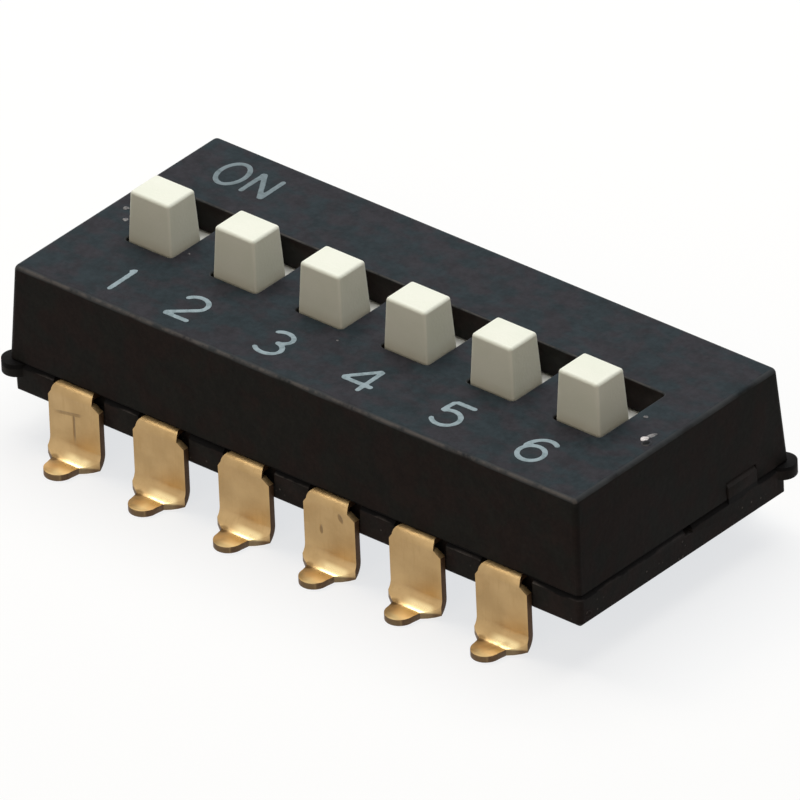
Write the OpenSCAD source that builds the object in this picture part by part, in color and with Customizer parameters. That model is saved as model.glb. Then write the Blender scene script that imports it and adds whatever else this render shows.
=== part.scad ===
// Six-pole slide DIP switch for surface mounting, in millimetres, +Z up.
// The origin is the centre of the footprint, on the plane that the terminal feet stand on.
// +X runs along the row of sliders and +Y is the ON side. The sliders are drawn at OFF.

/* [Poles] */
// Distance between neighbouring poles
pitch = 2.54; // [2.45:0.01:3.2]
// Travel of a slider from OFF to ON
travel = 1.13; // [0.9:0.01:1.3]

/* [Cover] */
// Height of the cover, from its rim to its flat top
cover_h = 2.46; // [2.3:0.05:3.2]
// Draft of the cover's outside faces, in degrees
draft = 3; // [0:0.5:6]
// Flat land beyond the last slot at each end
end_land = 1.3; // [1.1:0.02:2.5]
// Flat land between the slots and each long edge
side_land = 2.39; // [2.2:0.005:3.5]
// Thickness of the side walls at the rim
wall = 0.6; // [0.5:0.01:0.65]
// Thickness of the roof
roof = 0.79; // [0.7:0.01:1]
// Rounding of the outside edges
edge_r = 0.15; // [0.12:0.01:0.25]
// Bevel of the cover's rim
rim_bevel = 0.03; // [0.01:0.01:0.08]
// Thickness of the rib between two sliders
rib = 0.25; // [0.15:0.01:0.3]
// Rounding of the corners of a slot
slot_r = 0.1; // [0.02:0.01:0.3]

/* [Sliders] */
// Width of a knob at its foot, along the row
knob_w = 1.3; // [1:0.01:1.5]
// Depth of a knob at its foot, along its travel
knob_d = 1.07; // [0.8:0.01:1.4]
// Height of a knob above the cover
knob_h = 1.26; // [0.5:0.01:2]
// How much smaller a knob is at its top than at its foot
knob_taper = 0.12; // [0:0.01:0.3]
// Rounding of a knob's edges
knob_r = 0.09; // [0.05:0.01:0.25]
// Thickness of the flange that holds a slider in
flange_h = 0.45; // [0.3:0.01:0.6]
// How far the flange reaches under the roof past the slot
flange_lap = 0.13; // [0.05:0.01:0.2]
// Thickness of the two skirts that ride on the deck
skirt = 0.27; // [0.15:0.01:0.32]
// Diameter of the peg that the moving contact hangs on
peg_d = 0.4; // [0.3:0.01:0.5]
// How far the peg's end stands out below that contact
peg_end = 0.08; // [0.04:0.01:0.12]

/* [Moving contacts] */
// Thickness of the contact spring
spring_t = 0.1; // [0.06:0.01:0.14]
// Width of the contact spring
spring_w = 1; // [0.8:0.01:1.3]
// Gap between its two fingers
finger_gap = 0.2; // [0.1:0.01:0.3]
// Distance from its middle to each contact point
reach = 0.95; // [0.8:0.01:1]
// Outside radius of its curled tips
tip_r = 0.22; // [0.16:0.01:0.28]

/* [Base] */
// Height of the base below the cover's rim
base_h = 0.8; // [0.6:0.01:1.5]
// How far the base stands proud of the cover's rim
base_step = 0.03; // [0:0.01:0.1]
// Height of the deck inside the cover
deck_h = 0.3; // [0.2:0.01:0.45]
// Width of the trough over each pair of fixed contacts
trough_w = 1.5; // [1.25:0.01:1.58]
// Length of that trough
trough_d = 5; // [4.4:0.01:5.4]
// Bevel of the base's top and bottom edges
seam_bevel = 0.1; // [0.02:0.01:0.1]
// Width of the keying tab at each end
tab_w = 1; // [0.5:0.01:1.6]
// Height of the keying tab above the seam
tab_h = 0.42; // [0.2:0.01:0.6]
// Distance of the tab from the middle of its end
tab_offset = 2; // [1.5:0.01:2.4]
// Radius of the round ears at two corners
ear_r = 0.36; // [0.3:0.01:0.6]
// Thickness of the ears
ear_h = 0.32; // [0.15:0.01:0.5]
// Distance of an ear's centre inside each face of its corner
ear_inset = 0.16; // [0.05:0.01:0.25]
// Width of the vent notch in the base's top edge at each end
vent_w = 0.26; // [0.1:0.01:0.4]
// Height of that notch
vent_h = 0.2; // [0.1:0.01:0.3]
// Distance of the notch from the middle of its end
vent_offset = 0.09; // [0:0.01:0.5]
// How much of the base's corner is cut away below an ear
ear_chamfer = 0.3; // [0.05:0.01:0.35]
// Height of the base's underside above the board
standoff = 1.13; // [1:0.01:1.8]
// Depth of the hollow in the underside
hollow = 0.1; // [0.02:0.01:0.2]

/* [Terminals] */
// Thickness of the terminal strip
strip_t = 0.16; // [0.12:0.01:0.2]
// Width of the strip inside the base and over the top bend
neck_w = 1.0; // [0.9:0.01:1.2]
// Width of the neck where it has come round the top bend
neck_root_w = 1.22; // [1.2:0.01:1.4]
// Width of the leg outside the base
leg_w = 1.52; // [1.25:0.01:1.8]
// Outside radius of the top bend
bend_r = 0.22; // [0.21:0.01:0.35]
// How far the leg's shoulders lie below the seam
shoulder_drop = 0.33; // [0.3:0.01:0.38]
// Height of the slope from the neck out to each shoulder
shoulder_h = 0.13; // [0.08:0.01:0.15]
// Inside radius of the foot bend
foot_bend_r = 0.36; // [0.2:0.01:0.45]
// Length of the foot, from the leg's outside face
foot_len = 0.88; // [0.75:0.01:1.2]
// How far from that face the foot keeps the leg's full width, on its left seen from the front
toe_start = 0.1; // [0.06:0.01:0.12]
// How much shorter that stretch is on the right
toe_skew = 0.06; // [0:0.01:0.06]
// How far from that face the foot has narrowed to its root
toe_end = 0.3; // [0.2:0.01:0.32]
// Width of the foot at its root
foot_root_w = 0.8; // [0.7:0.01:1.2]
// How far neck and foot lie off the leg's middle, to the left seen from the front
strip_shift = 0.06; // [0:0.01:0.08]
// Radius of the foot's round tip
foot_tip_r = 0.36; // [0.25:0.01:0.4]
// How far a fixed contact reaches past the point that it must hold
make_lap = 0.25; // [0.1:0.01:0.35]
// Open gap at OFF between a moving tip and the rear contact
break_gap = 0.3; // [0.25:0.01:0.5]

/* [Clearances] */
// Between knob and slot, across the row's travel
side_gap = 0.05; // [0.02:0.005:0.06]
// Between knob and slot, at each end of its travel
end_gap = 0.055; // [0.02:0.005:0.08]
// Between a slider and the roof, the ribs and the deck
slide_gap = 0.05; // [0.03:0.005:0.08]
// Between the base's deck or tabs and the cover
fit_gap = 0.03; // [0.01:0.005:0.06]
// Around a fixed contact in its channel
strip_gap = 0.02; // [0.01:0.005:0.04]
// Between a leg and the base's side
leg_gap = 0.04; // [0.01:0.005:0.1]
// Below a leg's shoulders, in the relief for its bend
shoulder_gap = 0.12; // [0.05:0.01:0.2]
// Between a moving tip and the fixed contact below it
tip_gap = 0.02; // [0.01:0.005:0.03]
// Around the peg in the contact spring
peg_gap = 0.02; // [0.01:0.005:0.04]

/* [Hidden] */
poles = 6;
POLES = [1:poles];
$fn = 48;
hull_fn = 32;
// How far a cutting shape runs past the face that it opens
past = 1;

BLACK = [0.15, 0.15, 0.16];
DARK = [0.12, 0.12, 0.12];
IVORY = [0.93, 0.93, 0.88];
GOLD = [0.85, 0.67, 0.36];

// Levels
seam_z = standoff + base_h;
top_z = seam_z + cover_h;
ceiling_z = top_z - roof;
deck_z = seam_z + deck_h;
flange_z = ceiling_z - slide_gap - flange_h;
strip_z = seam_z - strip_t;
shoulder_z = seam_z - shoulder_drop;

// Slots and the cover's plan
slot_w = knob_w + 2 * side_gap;
slot_d = knob_d + travel + 2 * end_gap;
flare = cover_h * tan(draft);
cover_w = (poles - 1) * pitch + slot_w + 2 * end_land;
cover_d = slot_d + 2 * side_land;
rim_w = cover_w + 2 * flare;
rim_d = cover_d + 2 * flare;
cavity_w = rim_w - 2 * wall;
cavity_d = rim_d - 2 * wall;

// Base plan and the bends of the terminals
base_w = rim_w + 2 * base_step;
base_d = rim_d + 2 * base_step;
leg_y = base_d / 2 + leg_gap + strip_t;
relief_d = bend_r + leg_gap;
relief_h = shoulder_drop + shoulder_gap;
channel_w = neck_w + 2 * strip_gap;
foot_bend_z = foot_bend_r + strip_t;

// Sliders and contacts
off_y = -travel / 2;
on_y = travel / 2;
flange_w = pitch - rib - 2 * slide_gap;
flange_d = slot_d + travel + 2 * flange_lap;
skirt_z = deck_z + slide_gap;
spring_z = flange_z - spring_t;
tip_z = seam_z + tip_gap + tip_r;
front_contact_y = on_y - reach + make_lap;
rear_contact_y = off_y + reach + break_gap;

function pole_x(i) = (i - (poles + 1) / 2) * pitch;

// Lays a flat profile of (y, z) points across the row, centred on x = 0
module across(width) {
    rotate([90, 0, 90])
        linear_extrude(width, center = true)
            children();
}

// Repeats its children at both ends, the second copy turned half a turn about the vertical axis
module both_ends() {
    for (turn = [0, 180])
        rotate([0, 0, turn])
            children();
}

// A quarter of a ring in the corner between the +x and +y directions
module quarter_ring(inner, outer) {
    intersection() {
        difference() {
            circle(outer);
            circle(inner);
        }
        square(outer);
    }
}

// A rectangle with true round corners
module rounded_slot(width, depth, r) {
    square([width - 2 * r, depth], center = true);
    square([width, depth - 2 * r], center = true);
    for (sx = [-1, 1], sy = [-1, 1])
        translate([sx * (width / 2 - r), sy * (depth / 2 - r)])
            circle(r);
}

// Puts its children at the four corners of a rectangle
module corners(width, depth) {
    for (sx = [-1, 1], sy = [-1, 1])
        translate([sx * width / 2, sy * depth / 2])
            children();
}

// The cover's outside: a drafted block with round upper edges and a bevelled rim
module cover_block() {
    hull() {
        translate([0, 0, top_z - edge_r])
            corners(cover_w - 2 * edge_r, cover_d - 2 * edge_r)
                sphere(edge_r, $fn = hull_fn);
        translate([0, 0, seam_z])
            corners(rim_w - 2 * edge_r, rim_d - 2 * edge_r)
                cylinder(h = rim_bevel, r1 = edge_r - rim_bevel, r2 = edge_r, $fn = hull_fn);
    }
}

module cover() {
    color(BLACK)
    difference() {
        cover_block();
        // Cavity, left solid at the ribs between the poles
        difference() {
            translate([-cavity_w / 2, -cavity_d / 2, seam_z - past])
                cube([cavity_w, cavity_d, ceiling_z - seam_z + past]);
            for (i = [1:poles - 1])
                translate([pole_x(i) + (pitch - rib) / 2, -cavity_d / 2 - past, deck_z + fit_gap])
                    cube([rib, cavity_d + 2 * past, cover_h]);
        }
        // Slots for the knobs
        for (i = POLES)
            translate([pole_x(i), 0, ceiling_z - past])
                linear_extrude(roof + 2 * past)
                    rounded_slot(slot_w, slot_d, slot_r);
        // Keyways for the base's tabs
        both_ends()
            translate([cavity_w / 2 - past, tab_offset - tab_w / 2 - fit_gap, seam_z - past])
                cube([wall + 2 * past, tab_w + 2 * fit_gap, tab_h + fit_gap + past]);
    }
}

// The base's outside below the seam, bevelled at its top and bottom edges and cut below the ears
module base_block() {
    difference() {
        hull() {
            translate([0, 0, standoff])
                corners(base_w - 2 * edge_r, base_d - 2 * edge_r)
                    cylinder(h = seam_bevel, r1 = edge_r - seam_bevel, r2 = edge_r, $fn = hull_fn);
            translate([0, 0, seam_z - seam_bevel])
                corners(base_w - 2 * edge_r, base_d - 2 * edge_r)
                    cylinder(h = seam_bevel, r1 = edge_r, r2 = edge_r - seam_bevel, $fn = hull_fn);
        }
        both_ends()
            translate([base_w / 2 - ear_chamfer, base_d / 2, standoff])
                rotate([0, 0, -45])
                    translate([-past, 0, -past])
                        cube([ear_chamfer * sqrt(2) + 2 * past, past, base_h + 2 * past]);
    }
}

// The tab that keys one end of the base into the cover, with a bevelled top
module end_tab() {
    bevel = 0.1;
    translate([0, tab_offset + tab_w / 2, 0])
        rotate([90, 0, 0])
            linear_extrude(tab_w)
                polygon([
                    [cavity_w / 2 + fit_gap, seam_z - base_h / 2],
                    [base_w / 2, seam_z - base_h / 2],
                    [base_w / 2, seam_z + tab_h - bevel],
                    [base_w / 2 - bevel, seam_z + tab_h],
                    [cavity_w / 2 + fit_gap, seam_z + tab_h]
                ]);
}

// The channel in the base that holds one side's strip, and the relief for its bend
module strip_channel(inner_y) {
    translate([-strip_shift - channel_w / 2, inner_y - strip_gap, strip_z])
        cube([channel_w, base_d, strip_t]);
    translate([-leg_w / 2, base_d / 2 - relief_d, seam_z - relief_h])
        cube([leg_w, base_d, relief_h]);
}

module base() {
    color(DARK)
    difference() {
        union() {
            base_block();
            // Deck that locates the cover
            translate([-cavity_w / 2 + fit_gap, -cavity_d / 2 + fit_gap, seam_z - base_h / 2])
                cube([cavity_w - 2 * fit_gap, cavity_d - 2 * fit_gap, base_h / 2 + deck_h]);
            both_ends()
                end_tab();
            // Ears at two opposite corners
            both_ends()
                translate([base_w / 2 - ear_inset, base_d / 2 - ear_inset, seam_z - ear_h])
                    cylinder(h = ear_h, r = ear_r);
        }
        for (i = POLES)
            translate([pole_x(i), 0, 0]) {
                translate([-trough_w / 2, -trough_d / 2, seam_z])
                    cube([trough_w, trough_d, deck_h + past]);
                strip_channel(rear_contact_y);
                mirror([0, 1, 0])
                    strip_channel(-front_contact_y);
            }
        // Vent notches in the top edge
        both_ends()
            translate([cavity_w / 2 + fit_gap, vent_offset - vent_w / 2, seam_z - vent_h])
                cube([wall + past, vent_w, vent_h + past]);
        // Shallow hollow in the underside
        translate([-cavity_w / 2, -cavity_d / 2, standoff - past])
            cube([cavity_w, cavity_d, past + hollow]);
    }
}

// One slider at OFF: knob, stem, flange, two skirts and the peg for its contact
module slider(i) {
    color(IVORY)
    translate([pole_x(i), off_y, 0]) {
        hull() {
            translate([0, 0, top_z + knob_h - knob_r])
                corners(knob_w - knob_taper - 2 * knob_r, knob_d - knob_taper - 2 * knob_r)
                    sphere(knob_r, $fn = hull_fn);
            translate([0, 0, flange_z + flange_h / 2])
                corners(knob_w - 2 * knob_r, knob_d - 2 * knob_r)
                    cylinder(h = top_z - flange_z - flange_h / 2, r = knob_r, $fn = hull_fn);
        }
        translate([-flange_w / 2, -flange_d / 2, flange_z])
            cube([flange_w, flange_d, flange_h]);
        for (side = [-1, 1])
            translate([side * (flange_w - skirt) / 2 - skirt / 2, -flange_d / 2, skirt_z])
                cube([skirt, flange_d, flange_z + flange_h / 2 - skirt_z]);
        translate([0, 0, spring_z - peg_end])
            cylinder(h = peg_end + spring_t + flange_h / 2, d = peg_d);
    }
}

// One half of the contact spring's profile: half the bar, the bend, the arm and the curled tip
module spring_half() {
    arm_y = reach - tip_r;
    bend = 2 * spring_t;
    translate([0, spring_z])
        square([arm_y + spring_t - bend, spring_t]);
    translate([arm_y + spring_t - bend, spring_z + spring_t - bend])
        quarter_ring(bend - spring_t, bend);
    translate([arm_y, tip_z])
        square([spring_t, spring_z + spring_t - bend - tip_z]);
    translate([reach, tip_z])
        for (turn = [180, 270])
            rotate(turn)
                quarter_ring(tip_r - spring_t, tip_r);
}

// The bridging spring that each slider carries, split into two fingers at both ends
module moving_contact(i) {
    cut_y = reach + peg_d / 2;
    color(GOLD)
    translate([pole_x(i), off_y, 0])
    difference() {
        across(spring_w) {
            spring_half();
            mirror([1, 0])
                spring_half();
        }
        translate([0, 0, spring_z - past])
            cylinder(h = spring_t + 2 * past, d = peg_d + 2 * peg_gap);
        for (side = [-1, 1])
            translate([0, side * cut_y, 0])
                cube([finger_gap, reach, 4 * top_z], center = true);
    }
}

// The terminal strip seen from its end: (outward distance, height), from contact to toe
module strip_profile(inner_y) {
    translate([inner_y, strip_z])
        square([leg_y - bend_r - inner_y, strip_t]);
    translate([leg_y - bend_r, seam_z - bend_r])
        quarter_ring(bend_r - strip_t, bend_r);
    translate([leg_y - strip_t, foot_bend_z])
        square([strip_t, seam_z - bend_r - foot_bend_z]);
    translate([leg_y + foot_bend_r, foot_bend_z])
        rotate(180)
            quarter_ring(foot_bend_r, foot_bend_z);
    translate([leg_y + foot_bend_r, 0])
        square([foot_len - foot_bend_r, strip_t]);
}

// The neck seen from above: it widens as it comes round the top bend
module neck_outline() {
    start_y = leg_y - bend_r;
    translate([-strip_shift, 0])
        polygon([
            [-neck_w / 2, -base_d],
            [neck_w / 2, -base_d],
            [neck_w / 2, start_y],
            [neck_root_w / 2, leg_y],
            [neck_root_w / 2, leg_y + past],
            [-neck_root_w / 2, leg_y + past],
            [-neck_root_w / 2, leg_y],
            [-neck_w / 2, start_y]
        ]);
}

// The leg seen from the side of the switch, with its sloping shoulders
module leg_outline() {
    polygon([
        [neck_root_w / 2 - strip_shift, shoulder_z + shoulder_h],
        [leg_w / 2, shoulder_z],
        [leg_w / 2, -past],
        [-leg_w / 2, -past],
        [-leg_w / 2, shoulder_z],
        [-neck_root_w / 2 - strip_shift, shoulder_z + shoulder_h]
    ]);
}

// The leg and foot seen from above: full width, then a foot that tapers to a round tip
module foot_outline() {
    tip_y = leg_y + foot_len - foot_tip_r;
    polygon([
        [-leg_w / 2, leg_y - strip_t],
        [leg_w / 2, leg_y - strip_t],
        [leg_w / 2, leg_y + toe_start - toe_skew],
        [foot_root_w / 2 - strip_shift, leg_y + toe_end],
        [foot_tip_r - strip_shift, tip_y],
        [-foot_tip_r - strip_shift, tip_y],
        [-foot_root_w / 2 - strip_shift, leg_y + toe_end],
        [-leg_w / 2, leg_y + toe_start]
    ]);
    translate([-strip_shift, tip_y])
        circle(foot_tip_r);
}

// A whole terminal for the rear side, with its fixed contact at inner_y
module terminal(inner_y) {
    color(GOLD)
    intersection() {
        across(leg_w)
            strip_profile(inner_y);
        union() {
            translate([0, 0, shoulder_z])
                linear_extrude(shoulder_drop + past)
                    neck_outline();
            intersection() {
                rotate([90, 0, 0])
                    linear_extrude(4 * base_d, center = true)
                        leg_outline();
                translate([0, 0, -past])
                    linear_extrude(seam_z + 2 * past)
                        foot_outline();
            }
        }
    }
}

module rear_terminal(i) {
    translate([pole_x(i), 0, 0])
        terminal(rear_contact_y);
}

module front_terminal(i) {
    translate([pole_x(i), 0, 0])
        mirror([0, 1, 0])
            terminal(-front_contact_y);
}

cover();
base();
for (i = POLES) {
    slider(i);
    moving_contact(i);
    front_terminal(i);
    rear_terminal(i);
}
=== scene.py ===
"""Looks of a six-position surface-mount slide switch: black mouldings, ivory sliders, gold terminals."""

import math

import bmesh
import bpy
from mathutils import Matrix, Vector, noise


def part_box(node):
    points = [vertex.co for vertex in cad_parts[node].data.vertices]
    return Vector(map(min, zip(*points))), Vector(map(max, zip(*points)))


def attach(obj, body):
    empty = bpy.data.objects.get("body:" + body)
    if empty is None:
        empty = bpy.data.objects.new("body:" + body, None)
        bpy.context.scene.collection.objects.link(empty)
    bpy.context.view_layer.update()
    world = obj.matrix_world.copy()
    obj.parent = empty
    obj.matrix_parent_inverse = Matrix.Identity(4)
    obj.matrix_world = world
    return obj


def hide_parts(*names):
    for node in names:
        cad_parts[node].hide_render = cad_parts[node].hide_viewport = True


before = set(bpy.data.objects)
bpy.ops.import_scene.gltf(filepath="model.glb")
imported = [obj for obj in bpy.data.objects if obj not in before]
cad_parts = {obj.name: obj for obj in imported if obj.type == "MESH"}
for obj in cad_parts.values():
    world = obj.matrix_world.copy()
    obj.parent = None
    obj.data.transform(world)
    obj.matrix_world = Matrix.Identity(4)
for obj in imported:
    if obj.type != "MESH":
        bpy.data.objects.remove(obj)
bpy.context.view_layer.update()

# Shapes are worked out in millimetres and scaled to metres when they become pieces.
MM = 0.001
POLES = range(1, 7)


def box_mm(node):
    """Lowest and highest corner of a CAD node, in millimetres."""
    low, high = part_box(node)
    return low / MM, high / MM


COVER_LOW, COVER_HIGH = box_mm("cover")
TOP_Z = COVER_HIGH.z
SEAM_Z = COVER_LOW.z
BASE_RIGHT = box_mm("base")[1].x
FOOT_Y = box_mm("rear_terminal_1")[1].y  # how far out the feet reach
PITCH = (box_mm("slider_6")[0].x - box_mm("slider_1")[0].x) / (len(POLES) - 1)
STRIP = 0.16  # thickness of the terminals' metal


def to_scene(name, data):
    """Links a new object with this data into the scene."""
    made = bpy.data.objects.new(name, data)
    bpy.context.scene.collection.objects.link(made)
    return made


# ---------------------------------------------------------------- camera

AZIMUTH, ELEVATION, ROLL = (math.radians(a) for a in (41.786, 31.863, -2.516))
TOWARDS = Vector((
    math.sin(AZIMUTH) * math.cos(ELEVATION),
    -math.cos(AZIMUTH) * math.cos(ELEVATION),
    math.sin(ELEVATION),
))


def add_camera(distance=651.55, lens=1297.3, aim=(0.055, 0.093), aim_above_seam=0.11):
    """A very long lens, rolled a little; aim shifts the view's middle right and up from the upright axis."""
    level = Vector((math.cos(AZIMUTH), math.sin(AZIMUTH), 0))
    upright = TOWARDS.cross(level)
    right = level * math.cos(ROLL) + upright * math.sin(ROLL)
    up = upright * math.cos(ROLL) - level * math.sin(ROLL)
    middle = Vector((0, 0, SEAM_Z + aim_above_seam)) + right * aim[0] + up * aim[1]
    data = bpy.data.cameras.new("camera")
    data.lens, data.sensor_width = lens, 36
    data.clip_start, data.clip_end = 0.05, 10
    camera = to_scene("camera", data)
    turn = Matrix((right, up, TOWARDS)).transposed().to_4x4()
    camera.matrix_world = Matrix.Translation((middle + TOWARDS * distance) * MM) @ turn
    bpy.context.scene.camera = camera


# ---------------------------------------------------------------- material nodes

class Signal:
    """A shader socket that takes part in Python arithmetic; each operator adds one Math node."""

    def __init__(self, paint, socket):
        self.paint, self.socket = paint, socket

    def math(self, operation, *values):
        return self.paint.node("Math", {"operation": operation}, dict(enumerate(values)))

    def __add__(self, other):
        return self.math("ADD", self, other)

    def __sub__(self, other):
        return self.math("SUBTRACT", self, other)

    def __rsub__(self, other):
        return self.math("SUBTRACT", other, self)

    def __mul__(self, other):
        return self.math("MULTIPLY", self, other)

    def __truediv__(self, other):
        return self.math("DIVIDE", self, other)

    def __abs__(self):
        return self.math("ABSOLUTE", self)

    __radd__, __rmul__ = __add__, __mul__

    def fraction(self):
        return self.math("FRACT", self)

    def most(self, other):
        return self.math("MAXIMUM", self, other)

    def ramp(self, low, high):
        """0 below low, 1 above high and smooth between them; low may be the larger one."""
        settings = {"interpolation_type": "SMOOTHSTEP"}
        if low < high:
            return self.paint.node("MapRange", settings, {0: self, 1: low, 2: high})
        return 1 - self.ramp(high, low)


class Paint:
    """The nodes of one procedural material, or of the world."""

    def __init__(self, owner):
        owner.use_nodes = True
        self.owner, self.tree = owner, owner.node_tree
        self.tree.nodes.clear()

    def node(self, kind, settings=None, inputs=None, output=0):
        """Adds a node, sets its settings and inputs, and returns one of its outputs."""
        made = self.tree.nodes.new("ShaderNode" + kind)
        for key, value in (settings or {}).items():
            setattr(made, key, value)
        for key, value in (inputs or {}).items():
            if isinstance(value, Signal):
                self.tree.links.new(value.socket, made.inputs[key])
            else:
                made.inputs[key].default_value = value
        return Signal(self, made.outputs[output]) if made.outputs else None

    def place(self, scale=(1, 1, 1)):
        """Object coordinates in millimetres, stretched by scale."""
        coords = self.node("TexCoord", output="Object")
        return self.node("VectorMath", {"operation": "MULTIPLY"}, {0: coords, 1: [s / MM for s in scale]})

    def xyz(self, vector):
        return [self.node("SeparateXYZ", inputs={0: vector}, output=i) for i in range(3)]

    def normal(self):
        return self.xyz(self.node("NewGeometry", output="Normal"))

    def grain(self, scale, detail=2.0, roughness=0.5, stretch=(1, 1, 1)):
        """Noise with about scale cells to the millimetre, between 0 and 1."""
        values = {"Vector": self.place(stretch), "Scale": scale, "Detail": detail, "Roughness": roughness}
        return self.node("TexNoise", inputs=values)

    def pits(self, scale):
        """Distance to the nearest of scattered points, scale of them to the millimetre."""
        return self.node("TexVoronoi", inputs={"Vector": self.place(), "Scale": scale})

    def blend(self, factor, below, above):
        """The colour below where factor is 0, above where it is 1."""
        settings = {"data_type": "RGBA", "clamp_factor": True}
        colours = [c if isinstance(c, Signal) else (*c, 1) for c in (below, above)]
        return self.node("Mix", settings, {0: factor, 6: colours[0], 7: colours[1]}, output=2)

    def shade(self, colour, amount):
        """The colour made lighter or darker by a factor."""
        return self.node("VectorMath", {"operation": "SCALE"}, {0: colour, "Scale": amount})

    def bump(self, height, depth):
        """The normal of a surface whose height runs over depth millimetres."""
        return self.node("Bump", inputs={"Height": height, "Strength": 1.0, "Distance": depth * MM})

    def surface(self, **inputs):
        """Ends a material in the principled surface; underscores in input names stand for spaces."""
        named = {key.replace("_", " "): value for key, value in inputs.items()}
        shader = self.node("BsdfPrincipled", inputs=named)
        self.node("OutputMaterial", inputs={"Surface": shader})
        return self.owner


def new_paint(name):
    return Paint(bpy.data.materials.new(name))


# ---------------------------------------------------------------- black mouldings

# Colours for rubbed wear with a painted highlight on the edges, for crumbs, and for the painted shadow along
# the seam.
RUBBED_AND_HIGHLIT_EDGE = (0.125, 0.113, 0.108)
SPECK = (0.115, 0.105, 0.1)
SEAM_SHADE = (0.004, 0.0035, 0.0035)


def squareness(normal):
    """1 on faces square to an axis, less over the rounded edges between them."""
    x, y, z = normal
    return abs(x).most(abs(y)).most(abs(z))


def worn_and_highlit_edges(normal):
    """The rounded upper edges of a box-like piece, worn and given a painted highlight: a mask of their whole
    width and one of their crest.
    """
    square, upper = squareness(normal), normal[2].ramp(0.1, 0.35)
    return square.ramp(0.99, 0.9) * upper, square.ramp(0.93, 0.78) * upper


def spark_grain(paint):
    """The grain that a spark-eroded mould leaves: fine, with softer cloudy patches."""
    fine = paint.grain(9, detail=3, roughness=0.6)
    coarse = paint.grain(2.3, detail=3, roughness=0.6)
    return fine * 0.45 + coarse * 0.55


def seam_shadow(paint, height):
    """An uneven dark line of painted shadow along the seam, over the base's bevel and the cover's rim."""
    uneven = paint.grain(1.3, detail=3).ramp(0.3, 0.7) * 0.08
    over_base = (height + uneven).ramp(SEAM_Z - 0.085, SEAM_Z - 0.03)
    under_cover = (height + uneven * 0.4).ramp(SEAM_Z + 0.08, SEAM_Z + 0.04)
    return over_base * under_cover


def moulded_black(name, top, sides, edge, gloss, crumbs):
    """
    Moulded black plastic: grained, greyer where it faces up as a painted sheen, paler along worn edges that
    also carry a painted highlight, with tiny crumbs.
    top and sides are each a cool and a warm tone, between which the colour drifts.
    """
    paint = new_paint(name)
    height = paint.xyz(paint.place())[2]
    x, y, z = facing = paint.normal()
    grain = spark_grain(paint)
    clouds = paint.grain(0.45, detail=3).ramp(0.25, 0.75)
    drift = paint.grain(1.5, detail=3, stretch=(1, 1.4, 1)).ramp(0.38, 0.62)
    # The top tone is cooler and greyer than the sides': a painted sheen of the light from above.
    plain = paint.blend(z.ramp(0.35, 0.9), paint.blend(drift, *sides), paint.blend(drift, *top))
    mottle = 0.68 + grain.ramp(0.3, 0.7) * 0.5 + clouds * 0.16
    # Faces turned towards +x are darkened by painted shade.
    right_end_shade = 1 - x.ramp(0.5, 0.9) * 0.28
    colour = paint.shade(plain, mottle * right_end_shade)
    # Paler upper edges: wear together with a painted highlight where the rounding catches the light.
    band, crest = worn_and_highlit_edges(facing)
    colour = paint.blend(band * paint.grain(1.1, detail=4).ramp(0.2, 0.7), colour, edge)
    # A broken pale line on the crest of the front edges: rubbed wear and a painted highlight.
    rubbed_and_highlit = crest * y.ramp(-0.15, -0.5) * paint.grain(2.6, detail=4, roughness=0.65).ramp(0.36, 0.6)
    colour = paint.blend(rubbed_and_highlit * 0.75, colour, RUBBED_AND_HIGHLIT_EDGE)
    specks = paint.pits(4.2).ramp(crumbs, crumbs * 0.4) * paint.grain(1.9).ramp(0.44, 0.56)
    colour = paint.blend(specks * height.ramp(SEAM_Z - 0.15, SEAM_Z - 0.35), colour, SPECK)
    # Painted shadow along the seam between cover and base.
    colour = paint.blend(seam_shadow(paint, height), colour, SEAM_SHADE)
    roughness = gloss + clouds * 0.06 + grain * 0.14
    normal = paint.bump(grain + paint.pits(7) * 0.25, 0.012)
    return paint.surface(Base_Color=colour, Roughness=roughness, Specular_IOR_Level=0.05, Normal=normal)


# ---------------------------------------------------------------- ivory sliders

IVORY_DULL, IVORY_CLEAN = (0.85, 0.875, 0.775), (0.885, 0.90, 0.81)
IVORY_SLOT_SHADE = (0.62, 0.57, 0.45)
IVORY_CORNER_HIGHLIGHT = (0.97, 0.97, 0.88)
IVORY_FLANGE_LIT = (0.94, 0.925, 0.875)


def ivory_plastic():
    """Ivory slider plastic: satin, with painted shade making it darker and warmer towards the slot, a
    painted highlight on its upright corners and painted light on its flange.
    """
    paint = new_paint("ivory_plastic")
    height = paint.xyz(paint.place())[2]
    clouds = paint.grain(1.1, detail=3).ramp(0.3, 0.7)
    fine = paint.grain(16, detail=2)
    colour = paint.blend(clouds, IVORY_DULL, IVORY_CLEAN)
    # Painted shade: darker and warmer at the knob's foot and on the stem down in the slot.
    slot_shade = height.ramp(TOP_Z + 0.3, TOP_Z - 0.1) * (0.2 + paint.grain(2.5) * 0.4)
    above_flange = height.ramp(TOP_Z - 0.75, TOP_Z - 0.6)
    colour = paint.blend(slot_shade * above_flange, colour, IVORY_SLOT_SHADE)
    facing = paint.normal()
    # Painted highlight on the rounded upright corners.
    corner_highlight = squareness(facing).ramp(0.95, 0.8) * facing[2].ramp(0.5, 0.3)
    colour = paint.blend(corner_highlight * 0.5, colour, IVORY_CORNER_HIGHLIGHT)
    # The flange down in the slot is painted paler than the knob: painted light.
    colour = paint.blend(height.ramp(TOP_Z - 0.65, TOP_Z - 0.78), colour, IVORY_FLANGE_LIT)
    roughness = 0.36 + fine * 0.12 + clouds * 0.05
    normal = paint.bump(fine * 0.4 + paint.grain(2.6, detail=3) * 0.6, 0.012)
    return paint.surface(Base_Color=colour, Roughness=roughness, Specular_IOR_Level=0.25, Normal=normal)


# ---------------------------------------------------------------- gold terminals

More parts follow.
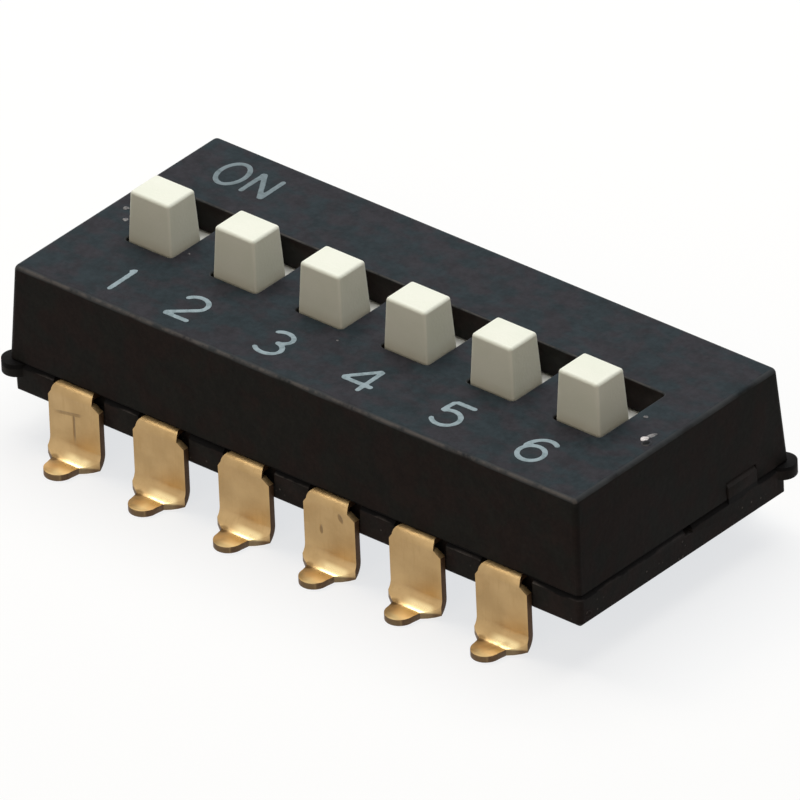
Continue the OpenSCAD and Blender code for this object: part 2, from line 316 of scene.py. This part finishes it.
GOLD_DARK, GOLD_LIGHT = (0.40, 0.262, 0.118), (0.50, 0.342, 0.165)
GOLD_STREAK = (0.36, 0.23, 0.095)
GOLD_HIGHLIGHT = (0.95, 0.74, 0.38)
TOE_REFLECTION_TONE = (0.84, 0.52, 0.21)
TOE_ROOT_SHADE = (0.13, 0.075, 0.028)
SHEARED_METAL = (0.07, 0.03, 0.013)
LEG_MARK = (0.17, 0.105, 0.05)


def gold_plate(name, flaw=None):
    """
    Matt gold over stamped strip: streaked along the leg, polished in the foot bend where a painted highlight
    lies, with a painted reflection on the toe and painted shade at the toe's root, bare brown metal on its
    sheared edges. flaw(x, z) is a mark in one leg, x taken from its pole's middle.
    """
    paint = new_paint(name)
    x, y, z = paint.xyz(paint.place())
    side, out = (abs(part) for part in paint.normal()[:2])
    out_from_middle = abs(y)
    # x counted anew for every leg, from its pole's middle; the 10 keeps the fraction's input above zero.
    from_pole = ((x / PITCH + 10).fraction() - 0.5) * PITCH
    across_toe = from_pole.ramp(-0.32, 0.06) * from_pole.ramp(0.66, 0.48)
    foot = out_from_middle.ramp(FOOT_Y - 0.5, FOOT_Y - 0.3)
    toe_tip = out_from_middle.ramp(FOOT_Y - 0.24, FOOT_Y - 0.06)

    clouds = paint.grain(1.6, detail=4).ramp(0.25, 0.75)
    streaks = paint.grain(5, detail=3, stretch=(3, 3, 0.35))
    fine = paint.grain(18, detail=2)
    face = paint.blend(clouds, GOLD_DARK, GOLD_LIGHT)
    face = paint.blend(streaks.ramp(0.5, 0.85) * 0.4, face, GOLD_STREAK)
    face = paint.shade(face, 1 + z.ramp(1.0, 0.45) * 0.13)
    # Polished foot bend: lower roughness, and a painted highlight in its colour.
    polished_and_highlit = z.ramp(0.34, 0.23) * across_toe * paint.grain(2.2, detail=2).ramp(0.15, 0.4)
    face = paint.blend(polished_and_highlit * 0.9, face, GOLD_HIGHLIGHT)
    # Painted reflection: the toe is painted brighter and more orange, as if it mirrored the gold leg.
    toe_reflection = foot * paint.grain(3, detail=2).ramp(0.25, 0.6) * (0.8 - across_toe * 0.35)
    face = paint.blend(toe_reflection, face, TOE_REFLECTION_TONE)
    face = paint.shade(face, 1 - toe_tip * 0.35)
    in_from_tip = out_from_middle - FOOT_Y
    # Painted shade in the crease at the left root of the toe.
    toe_root_shade = dent(from_pole + 0.43, in_from_tip + 0.58, half_w=0.16, half_h=0.12) * z.ramp(0.4, 0.3)
    face = paint.blend(toe_root_shade * 0.75, face, TOE_ROOT_SHADE)

    tip_edge = out.ramp(0.5, 0.8) * z.ramp(STRIP + 0.04, STRIP - 0.03)
    bare = side.ramp(0.5, 0.8).most(tip_edge * 0.85)
    colour = paint.blend(bare * (0.84 + fine * 0.16), face, SHEARED_METAL)
    relief = (streaks * 0.4 + fine * 0.3 + clouds * 0.3) * (1 - polished_and_highlit * 0.6)
    if flaw:
        mark = flaw(from_pole, z)
        colour = paint.blend(mark * 0.7, colour, LEG_MARK)
        relief = relief - mark * 2
    roughness = 0.38 + clouds * 0.08 + fine * 0.08 + bare * 0.12 - polished_and_highlit * (1 - foot) * 0.2
    normal = paint.bump(relief, 0.008)
    return paint.surface(Base_Color=colour, Metallic=1.0 - bare * 0.5, Roughness=roughness, Normal=normal)


def t_shaped_crease(x, z, stem_x=-0.015, bar_z=1.3, stem_h=0.82, left=0.62, right=0.28, half_w=0.02):
    """A faint crossbar, longer to the left, with a stem hanging from it, pressed into a leg."""
    x = x - stem_x
    across = x.ramp(-left, -left + 0.25) * x.ramp(right, right - 0.15)
    bar = abs(z - bar_z - x * 0.17).ramp(3 * half_w, half_w) * across * 0.7
    drop = bar_z - z
    hanging = drop.ramp(-0.02, 0.04) * drop.ramp(stem_h, stem_h - 0.35)
    stem = abs(x).ramp(2.4 * half_w, half_w * 0.5) * hanging
    return bar.most(stem)


def dent(x, z, half_w, half_h):
    """An oval dent; x and z are taken from its middle."""
    x, z = x / half_w, z / half_h
    return (x * x + z * z).ramp(1.3, 0.2)


def two_dents(x, z, right=(0.338, 1.537), left=(-0.25, 1.048), lean=0.3):
    """Two small dents in a leg, the one on the right a little higher and leaning."""
    over, up = x - right[0], z - right[1]
    higher = dent(over + up * lean, up, half_w=0.075, half_h=0.12)
    lower = dent(x - left[0], z - left[1], half_w=0.05, half_h=0.13)
    return higher.most(lower)


# ---------------------------------------------------------------- ink and torn plastic

INK_THIN, INK_FULL = (0.18, 0.24, 0.265), (0.295, 0.372, 0.415)


def printing_ink():
    """Pale pad-printing ink, thin enough in places for the plastic to show, duller on the ON side."""
    paint = new_paint("printing_ink")
    patches = paint.grain(6, detail=4, roughness=0.6).ramp(0.25, 0.6)
    worn = paint.xyz(paint.place())[1].ramp(-1, 2.2)
    colour = paint.shade(paint.blend(patches, INK_THIN, INK_FULL), 1 - worn * 0.36)
    roughness = 0.55 + patches * 0.1
    normal = paint.bump(paint.grain(14), 0.006)
    return paint.surface(Base_Color=colour, Roughness=roughness, Specular_IOR_Level=0.2, Normal=normal)


def torn_plastic(name, dull, bright, shine=0.4):
    """Torn or smeared plastic at a gate or a crumb of flash, also used for the gate's painted highlight and
    painted shade: patchy, from dull to bright.
    """
    paint = new_paint(name)
    patches = paint.grain(9, detail=3, roughness=0.6)
    colour = paint.blend(patches.ramp(0.4, 0.6), dull, bright)
    roughness = 0.28 + patches * 0.25
    normal = paint.bump(patches, 0.02)
    return paint.surface(Base_Color=colour, Roughness=roughness, Specular_IOR_Level=shine, Normal=normal)


# ---------------------------------------------------------------- the materials

COVER_PLASTIC = moulded_black(
    "cover_plastic", top=((0.0235, 0.0325, 0.0385), (0.031, 0.0305, 0.0365)),
    sides=((0.0170, 0.0165, 0.0152), (0.0208, 0.0152, 0.0142)),
    edge=(0.054, 0.058, 0.062), gloss=0.5, crumbs=0.035)
BASE_PLASTIC = moulded_black(
    "base_plastic", top=((0.028, 0.028, 0.029), (0.032, 0.028, 0.027)),
    sides=((0.0215, 0.0205, 0.0195), (0.0265, 0.020, 0.019)),
    edge=(0.036, 0.032, 0.032), gloss=0.5, crumbs=0.15)
IVORY = ivory_plastic()
GOLD = gold_plate("gold_plate")
CREASED_GOLD = gold_plate("creased_gold_plate", t_shaped_crease)
DENTED_GOLD = gold_plate("dented_gold_plate", two_dents)
INK = printing_ink()
# The gate stub's pale colour is torn plastic with a painted highlight.
TORN_GATE_GLARE = torn_plastic("torn_gate_glare", (0.5, 0.47, 0.47), (0.86, 0.8, 0.8))
FLASH = torn_plastic("flash", (0.06, 0.058, 0.06), (0.22, 0.21, 0.21))
# A near-black crumb set in the gate's pit: painted shade.
GATE_PIT_SHADE = torn_plastic("gate_pit_shade", (0.006, 0.006, 0.006), (0.014, 0.014, 0.015), shine=0.03)


# ---------------------------------------------------------------- pieces from the CAD

SAME_POINT = 0.0005
SAME_PLANE = math.radians(0.6)
SHARP_EDGE = math.radians(40)
SHADED_SHARP = math.radians(50)
MOUTH_RADIUS = 0.06
SLIDER_RADIUS = 0.03
BASE_RADIUS = 0.02
STAMPED_RADIUS = 0.018
BASE_RIM = 0.35  # width of the base's outer rim, counted in from the cover's sides


def cad_copy(node):
    """A copy of a CAD node in millimetres, its loose triangles merged into clean faces."""
    shape = bmesh.new()
    shape.from_mesh(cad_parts[node].data)
    bmesh.ops.scale(shape, vec=(1 / MM,) * 3, verts=shape.verts)
    bmesh.ops.remove_doubles(shape, verts=shape.verts, dist=SAME_POINT)
    bmesh.ops.dissolve_limit(shape, angle_limit=SAME_PLANE, verts=shape.verts, edges=shape.edges)
    return shape


def round_edges(shape, radius, where=lambda middle: True, segments=2, even=False):
    """
    Rounds the sharp edges, those for whose middle where(middle) is true.
    even keeps the full radius past short edges, which suits mouths of holes, whose outline only widens.
    """
    def chosen(edge):
        middle = (edge.verts[0].co + edge.verts[1].co) / 2
        return edge.is_manifold and edge.calc_face_angle(0) > SHARP_EDGE and where(middle)

    bmesh.ops.bevel(
        shape, geom=[edge for edge in shape.edges if chosen(edge)], offset=radius, offset_type="OFFSET",
        affect="EDGES", segments=segments, profile=0.5, clamp_overlap=not even, loop_slide=not even,
        material=-1,
    )


def make_piece(name, shape, material, body, stands_for=None):
    """Turns a shape in millimetres into a finished piece that rides on a CAD body."""
    bmesh.ops.scale(shape, vec=(MM,) * 3, verts=shape.verts)
    bmesh.ops.triangulate(shape, faces=[f for f in shape.faces if len(f.verts) > 4])
    mesh = bpy.data.meshes.new(name)
    shape.to_mesh(mesh)
    shape.free()
    mesh.shade_smooth()
    mesh.set_sharp_from_angle(angle=SHADED_SHARP)
    mesh.materials.append(material)
    piece = to_scene(name, mesh)
    weighted = piece.modifiers.new("face_weighted_normals", "WEIGHTED_NORMAL")
    weighted.keep_sharp = True
    if stands_for:
        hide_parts(stands_for)
    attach(piece, body)


def add_cover():
    """The cover with softened slot mouths and keyways."""
    shape = cad_copy("cover")
    round_edges(shape, MOUTH_RADIUS, lambda middle: middle.z > TOP_Z - 0.02, segments=4, even=True)
    make_piece("cover_shell", shape, COVER_PLASTIC, "housing", "cover")


def add_base():
    """The base with softened outside edges on its tabs, ears and channels."""
    shape = cad_copy("base")
    rim_x, rim_y = COVER_HIGH.x - BASE_RIM, COVER_HIGH.y - BASE_RIM
    round_edges(shape, BASE_RADIUS, lambda middle: abs(middle.x) > rim_x or abs(middle.y) > rim_y)
    make_piece("base_tray", shape, BASE_PLASTIC, "housing", "base")


def add_slider(number):
    """One slider, its knob, flange and skirts softened."""
    name = f"slider_{number}"
    shape = cad_copy(name)
    round_edges(shape, SLIDER_RADIUS, lambda middle: middle.z > SEAM_Z + 1)
    make_piece(f"{name}_moulding", shape, IVORY, name, name)


def add_terminal(side, number):
    """One terminal, its stamped outline rounded over a little."""
    name = f"{side}_terminal_{number}"
    shape = cad_copy(name)
    round_edges(shape, STAMPED_RADIUS)
    material = {("front", 1): CREASED_GOLD, ("front", 4): DENTED_GOLD}.get((side, number), GOLD)
    make_piece(f"{name}_strip", shape, material, "housing", name)


def gild_contact(number):
    """Gold for one moving contact, whose CAD shape stays."""
    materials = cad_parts[f"moving_contact_{number}"].data.materials
    materials.clear()
    materials.append(GOLD)


# ---------------------------------------------------------------- printing

STROKE = 0.13  # width of a printed line
DOT_STEP = 0.02
INK_HEIGHT = 0.012
INK_WAVER = 0.12
INK_CELL = 0.022
PRINT_TILT = math.radians(0.65)
LETTER_PLACES = [(-6.91, 2.46), (-6.02, 2.45)]
DIGIT_X = [-5.92, -3.91, -1.385, 1.19, 3.77, 6.25]
DIGIT_Y = -2.475


def line(*points):
    """A straight stroke, or one with corners, as closely spaced points."""
    dots = []
    for start, end in zip(points, points[1:]):
        start, end = Vector(start), Vector(end)
        steps = max(2, round((end - start).length / DOT_STEP))
        dots += [start.lerp(end, i / steps) for i in range(steps + 1)]
    return dots


def arc(centre, radii, first, last, steps=48):
    """Part of an ellipse, from first to last degrees, counter-clockwise if last is larger."""
    angles = [math.radians(first + (last - first) * i / steps) for i in range(steps + 1)]
    return [Vector((centre[0] + radii[0] * math.cos(a), centre[1] + radii[1] * math.sin(a))) for a in angles]


def ellipse(centre, radii):
    """A whole ellipse; its ends overlap, so that no nick shows where they meet."""
    return arc(centre, radii, 0, 390, steps=60)


def letter_o():
    return [ellipse((0, 0), (0.335, 0.475))]


def letter_n():
    return [line((-0.29, -0.465), (-0.29, 0.465)),
            line((-0.29, 0.465), (0.29, -0.465)),
            line((0.29, -0.465), (0.29, 0.465))]


def digit_1():
    return [line((0, -0.49), (0, 0.49), (-0.1, 0.38))]


def digit_2():
    hook = arc((0, 0.2), (0.325, 0.28), 168, -38)
    return [hook + line(hook[-1], (-0.38, -0.47)), line((-0.38, -0.47), (0.36, -0.47))]


def digit_3():
    return [arc((-0.01, 0.25), (0.30, 0.225), 155, -90), arc((-0.01, -0.225), (0.345, 0.255), 90, -155)]


def digit_4():
    return [line((0.21, -0.5), (0.21, 0.5)),
            line((0.21, 0.5), (-0.45, -0.2)),
            line((-0.45, -0.2), (0.45, -0.2))]


def digit_5():
    bowl = arc((-0.01, -0.165), (0.345, 0.315), 145, -155)
    return [line((0.36, 0.48), (-0.25, 0.48)), line((-0.25, 0.48), bowl[0]), bowl]


def digit_6():
    return [arc((0.08, -0.03), (0.405, 0.485), 50, 180), ellipse((0.0, -0.185), (0.322, 0.31))]


def ink_tube(dots, shape, seed):
    """Adds a round-ended tube along the dots to shape, its thickness wavering as printed ink does."""
    length = sum((b - a).length for a, b in zip(dots, dots[1:]))
    curve = bpy.data.curves.new("stroke", "CURVE")
    curve.dimensions, curve.bevel_depth, curve.bevel_resolution = "3D", STROKE / 2, 3
    curve.use_fill_caps = True
    spline = curve.splines.new("POLY")
    spline.points.add(len(dots) - 1)
    run = 0
    for i, (point, dot) in enumerate(zip(spline.points, dots)):
        run += (dot - dots[i - 1]).length if i else 0
        end = min(run, length - run) / (STROKE / 2)
        cap = math.sqrt(max(1 - (1 - min(end, 1)) ** 2, 0.02))
        waver = noise.noise(Vector((dot.x * 9, dot.y * 9, seed)))
        point.co = (dot.x, dot.y, 0, 1)
        point.radius = cap * (1 + INK_WAVER * waver)
    stroke = to_scene("stroke", curve)
    bpy.context.view_layer.update()
    mesh = bpy.data.meshes.new_from_object(stroke)
    shape.from_mesh(mesh)
    bpy.data.objects.remove(stroke)
    bpy.data.meshes.remove(mesh)


def fuse(shape, cell):
    """Joins the overlapping parts of a shape in millimetres into one skin with cells of that size."""
    mesh = bpy.data.meshes.new("fused")
    shape.to_mesh(mesh)
    shape.free()
    carrier = to_scene("fused", mesh)
    remesh = carrier.modifiers.new("fuse", "REMESH")
    remesh.mode, remesh.voxel_size = "VOXEL", cell
    bpy.context.view_layer.update()
    result = bpy.data.meshes.new_from_object(carrier.evaluated_get(bpy.context.evaluated_depsgraph_get()))
    fused = bmesh.new()
    fused.from_mesh(result)
    for old in (mesh, result):
        if old.users == 0:
            bpy.data.meshes.remove(old)
    bpy.data.objects.remove(carrier)
    return fused


def on_top(x, y, turn):
    """The move from the origin to a place on the cover's top, turned about the upright axis."""
    return Matrix.Translation((x, y, TOP_Z)) @ Matrix.Rotation(turn, 4, "Z")


def add_mark(name, strokes, x, y):
    """Prints one character on the cover's top with its middle at x, y."""
    shape = bmesh.new()
    for i, dots in enumerate(strokes):
        ink_tube(dots, shape, seed=x + i)
    bmesh.ops.recalc_face_normals(shape, faces=shape.faces)
    shape = fuse(shape, INK_CELL)
    squash = Matrix.Diagonal((1, 1, 2 * INK_HEIGHT / STROKE, 1))
    bmesh.ops.transform(shape, matrix=on_top(x, y, PRINT_TILT) @ squash, verts=shape.verts)
    make_piece(name, shape, INK, "housing")


def add_printing():
    """ON over the first pole and a number below each slider."""
    letters = {"print_on_o": letter_o, "print_on_n": letter_n}
    for (name, letter), (x, y) in zip(letters.items(), LETTER_PLACES):
        add_mark(name, letter(), x, y)
    digits = [digit_1, digit_2, digit_3, digit_4, digit_5, digit_6]
    for number, digit, x in zip(POLES, digits, DIGIT_X):
        add_mark(f"print_{number}", digit(), x, DIGIT_Y + x * math.tan(PRINT_TILT))


# ---------------------------------------------------------------- small moulding marks

GATE, GATE_STUB, GATE_SMEAR = (8.06, -0.71), (7.89, -0.6), (7.93, -0.43)
PIN = (BASE_RIGHT - 0.205, -3.42, 1.42)
CRUMBS = [  # x, y, radius
    (7.34, 0.13, 0.055), (-7.86, -0.12, 0.065), (-7.58, -0.53, 0.06),
    (-7.55, -0.35, 0.05), (-0.33, -1.57, 0.03), (-5.44, -0.76, 0.03),
]
BUTTON_PROFILE = [(0, 0.3), (0.35, 0.25), (0.6, 0.9), (0.75, 1), (0.9, 0.6), (1, -0.5), (0, -0.5)]


def dished_button(radius, height):
    """A small round mark with a raised rim and a dished middle, spun about the upright axis."""
    shape = bmesh.new()
    verts = [shape.verts.new((x * radius, 0, z * height)) for x, z in BUTTON_PROFILE]
    edges = [shape.edges.new(pair) for pair in zip(verts, verts[1:])]
    bmesh.ops.spin(
        shape, geom=verts + edges, axis=(0, 0, 1), cent=(0, 0, 0), angle=math.tau, steps=28, use_merge=True,
    )
    bmesh.ops.remove_doubles(shape, verts=shape.verts, dist=radius * 0.01)
    bmesh.ops.recalc_face_normals(shape, faces=shape.faces)
    return shape


def crumb(radius, seed, length=1.0, ragged=0.9, flatness=0.3, lumps=9):
    """A low, ragged crumb of plastic, drawn out along y by length, its lumps counted to the millimetre."""
    shape = bmesh.new()
    bmesh.ops.create_icosphere(shape, subdivisions=3, radius=radius)
    for vert in shape.verts:
        vert.co *= 1 + ragged * noise.noise(vert.co * lumps + Vector((0, 0, seed)))
        vert.co.y *= length
        vert.co.z *= flatness
    return shape


def add_on_top(name, shape, material, x, y, turn=0):
    """Sets a small shape on the cover's top, turned by that many degrees."""
    bmesh.ops.transform(shape, matrix=on_top(x, y, math.radians(turn)), verts=shape.verts)
    make_piece(name, shape, material, "housing")


def add_moulding_marks():
    """The gate's scar near the cover's right end, with a painted highlight on its stub and painted shade in
    its pit, a pin mark low on the base, and crumbs of flash.
    """
    add_on_top("gate_ring", dished_button(0.13, 0.02), COVER_PLASTIC, *GATE)
    add_on_top("gate_pit", crumb(0.085, seed=8, length=1.2, ragged=0.4), GATE_PIT_SHADE, *GATE)
    add_on_top("gate_stub", crumb(0.09, seed=3, length=1.15, ragged=0.35), TORN_GATE_GLARE, *GATE_STUB, turn=-20)
    add_on_top("gate_smear", crumb(0.055, seed=5, length=3.2, ragged=0.6), FLASH, *GATE_SMEAR, turn=-18)
    pin = dished_button(0.09, 0.025)
    facing_right = Matrix.Translation(PIN) @ Matrix.Rotation(math.pi / 2, 4, "Y")
    bmesh.ops.transform(pin, matrix=facing_right, verts=pin.verts)
    make_piece("pin_mark", pin, BASE_PLASTIC, "housing")
    for number, (x, y, radius) in enumerate(CRUMBS, start=1):
        add_on_top(f"flash_{number}", crumb(radius, seed=number), FLASH, x, y)


# ---------------------------------------------------------------- floor and light

WHITE, BLACK = (1, 1, 1), (0, 0, 0)
FLOOR_TONE = (0.28, 0.265, 0.245)
FILL_TONE = (1.0, 0.88, 0.72)


def seen_directly(paint):
    """1 for what the camera sees by itself, in a reflection or through glass, 0 for light on surfaces."""
    camera, glossy, glass = (
        paint.node("LightPath", output=f"Is {kind} Ray") for kind in ("Camera", "Glossy", "Transmission"))
    return camera.most(glossy).most(glass)


def add_floor(size=4.0):
    """A pale floor that takes the shadow; its own glow keeps it white for the eye but not for the switch."""
    paint = new_paint("pale_floor")
    haze = paint.grain(0.02, detail=2)
    colour = paint.blend(haze, FLOOR_TONE, [t * 1.02 for t in FLOOR_TONE])
    glow = paint.blend(seen_directly(paint), BLACK, [1.0 - t for t in FLOOR_TONE])
    material = paint.surface(Base_Color=colour, Roughness=0.9, Specular_IOR_Level=0.0,
                             Emission_Color=glow, Emission_Strength=1.0)
    shape = bmesh.new()
    bmesh.ops.create_grid(shape, x_segments=2, y_segments=2, size=size / 2)
    mesh = bpy.data.meshes.new("floor")
    shape.to_mesh(mesh)
    shape.free()
    mesh.materials.append(material)
    to_scene("floor", mesh)


def add_world(fill=0.2):
    """White where it is seen, a weak warm fill where it lights."""
    world = bpy.data.worlds.new("studio")
    bpy.context.scene.world = world
    paint = Paint(world)
    seen = seen_directly(paint)
    colour = paint.blend(seen, FILL_TONE, WHITE)
    back = paint.node("Background", inputs={"Color": colour, "Strength": fill + seen * (1 - fill)})
    paint.node("OutputWorld", inputs={"Surface": back})


def add_lamp(name, place, size, power, colour):
    """A soft rectangular lamp aimed at the switch; place and size in millimetres, power in milliwatts."""
    data = bpy.data.lights.new(name, "AREA")
    data.shape, data.size, data.size_y = "RECTANGLE", size[0] * MM, size[1] * MM
    data.energy, data.color = power / 1000, colour
    lamp = to_scene(name, data)
    lamp.location = Vector(place) * MM
    lamp.rotation_euler = (-lamp.location).to_track_quat("-Z", "Y").to_euler()


def add_light():
    """A wide overhead softbox, a small lamp that glints in the foot bends, a weak one on the front."""
    add_world()
    add_lamp("overhead", place=(-15, 40, 128), size=(130, 110), power=150, colour=(0.95, 0.985, 1.0))
    add_lamp("glint", place=(-92, 0, 130), size=(48, 48), power=40, colour=(1.0, 0.93, 0.8))
    add_lamp("front_fill", place=(30, -122, 75), size=(90, 90), power=30, colour=(1.0, 0.90, 0.77))
    bpy.context.scene.view_settings.view_transform = "Standard"


# ---------------------------------------------------------------- the switch

add_camera()
add_cover()
add_base()
for pole in POLES:
    add_slider(pole)
    add_terminal("front", pole)
    add_terminal("rear", pole)
    gild_contact(pole)
add_printing()
add_moulding_marks()
add_floor()
add_light()
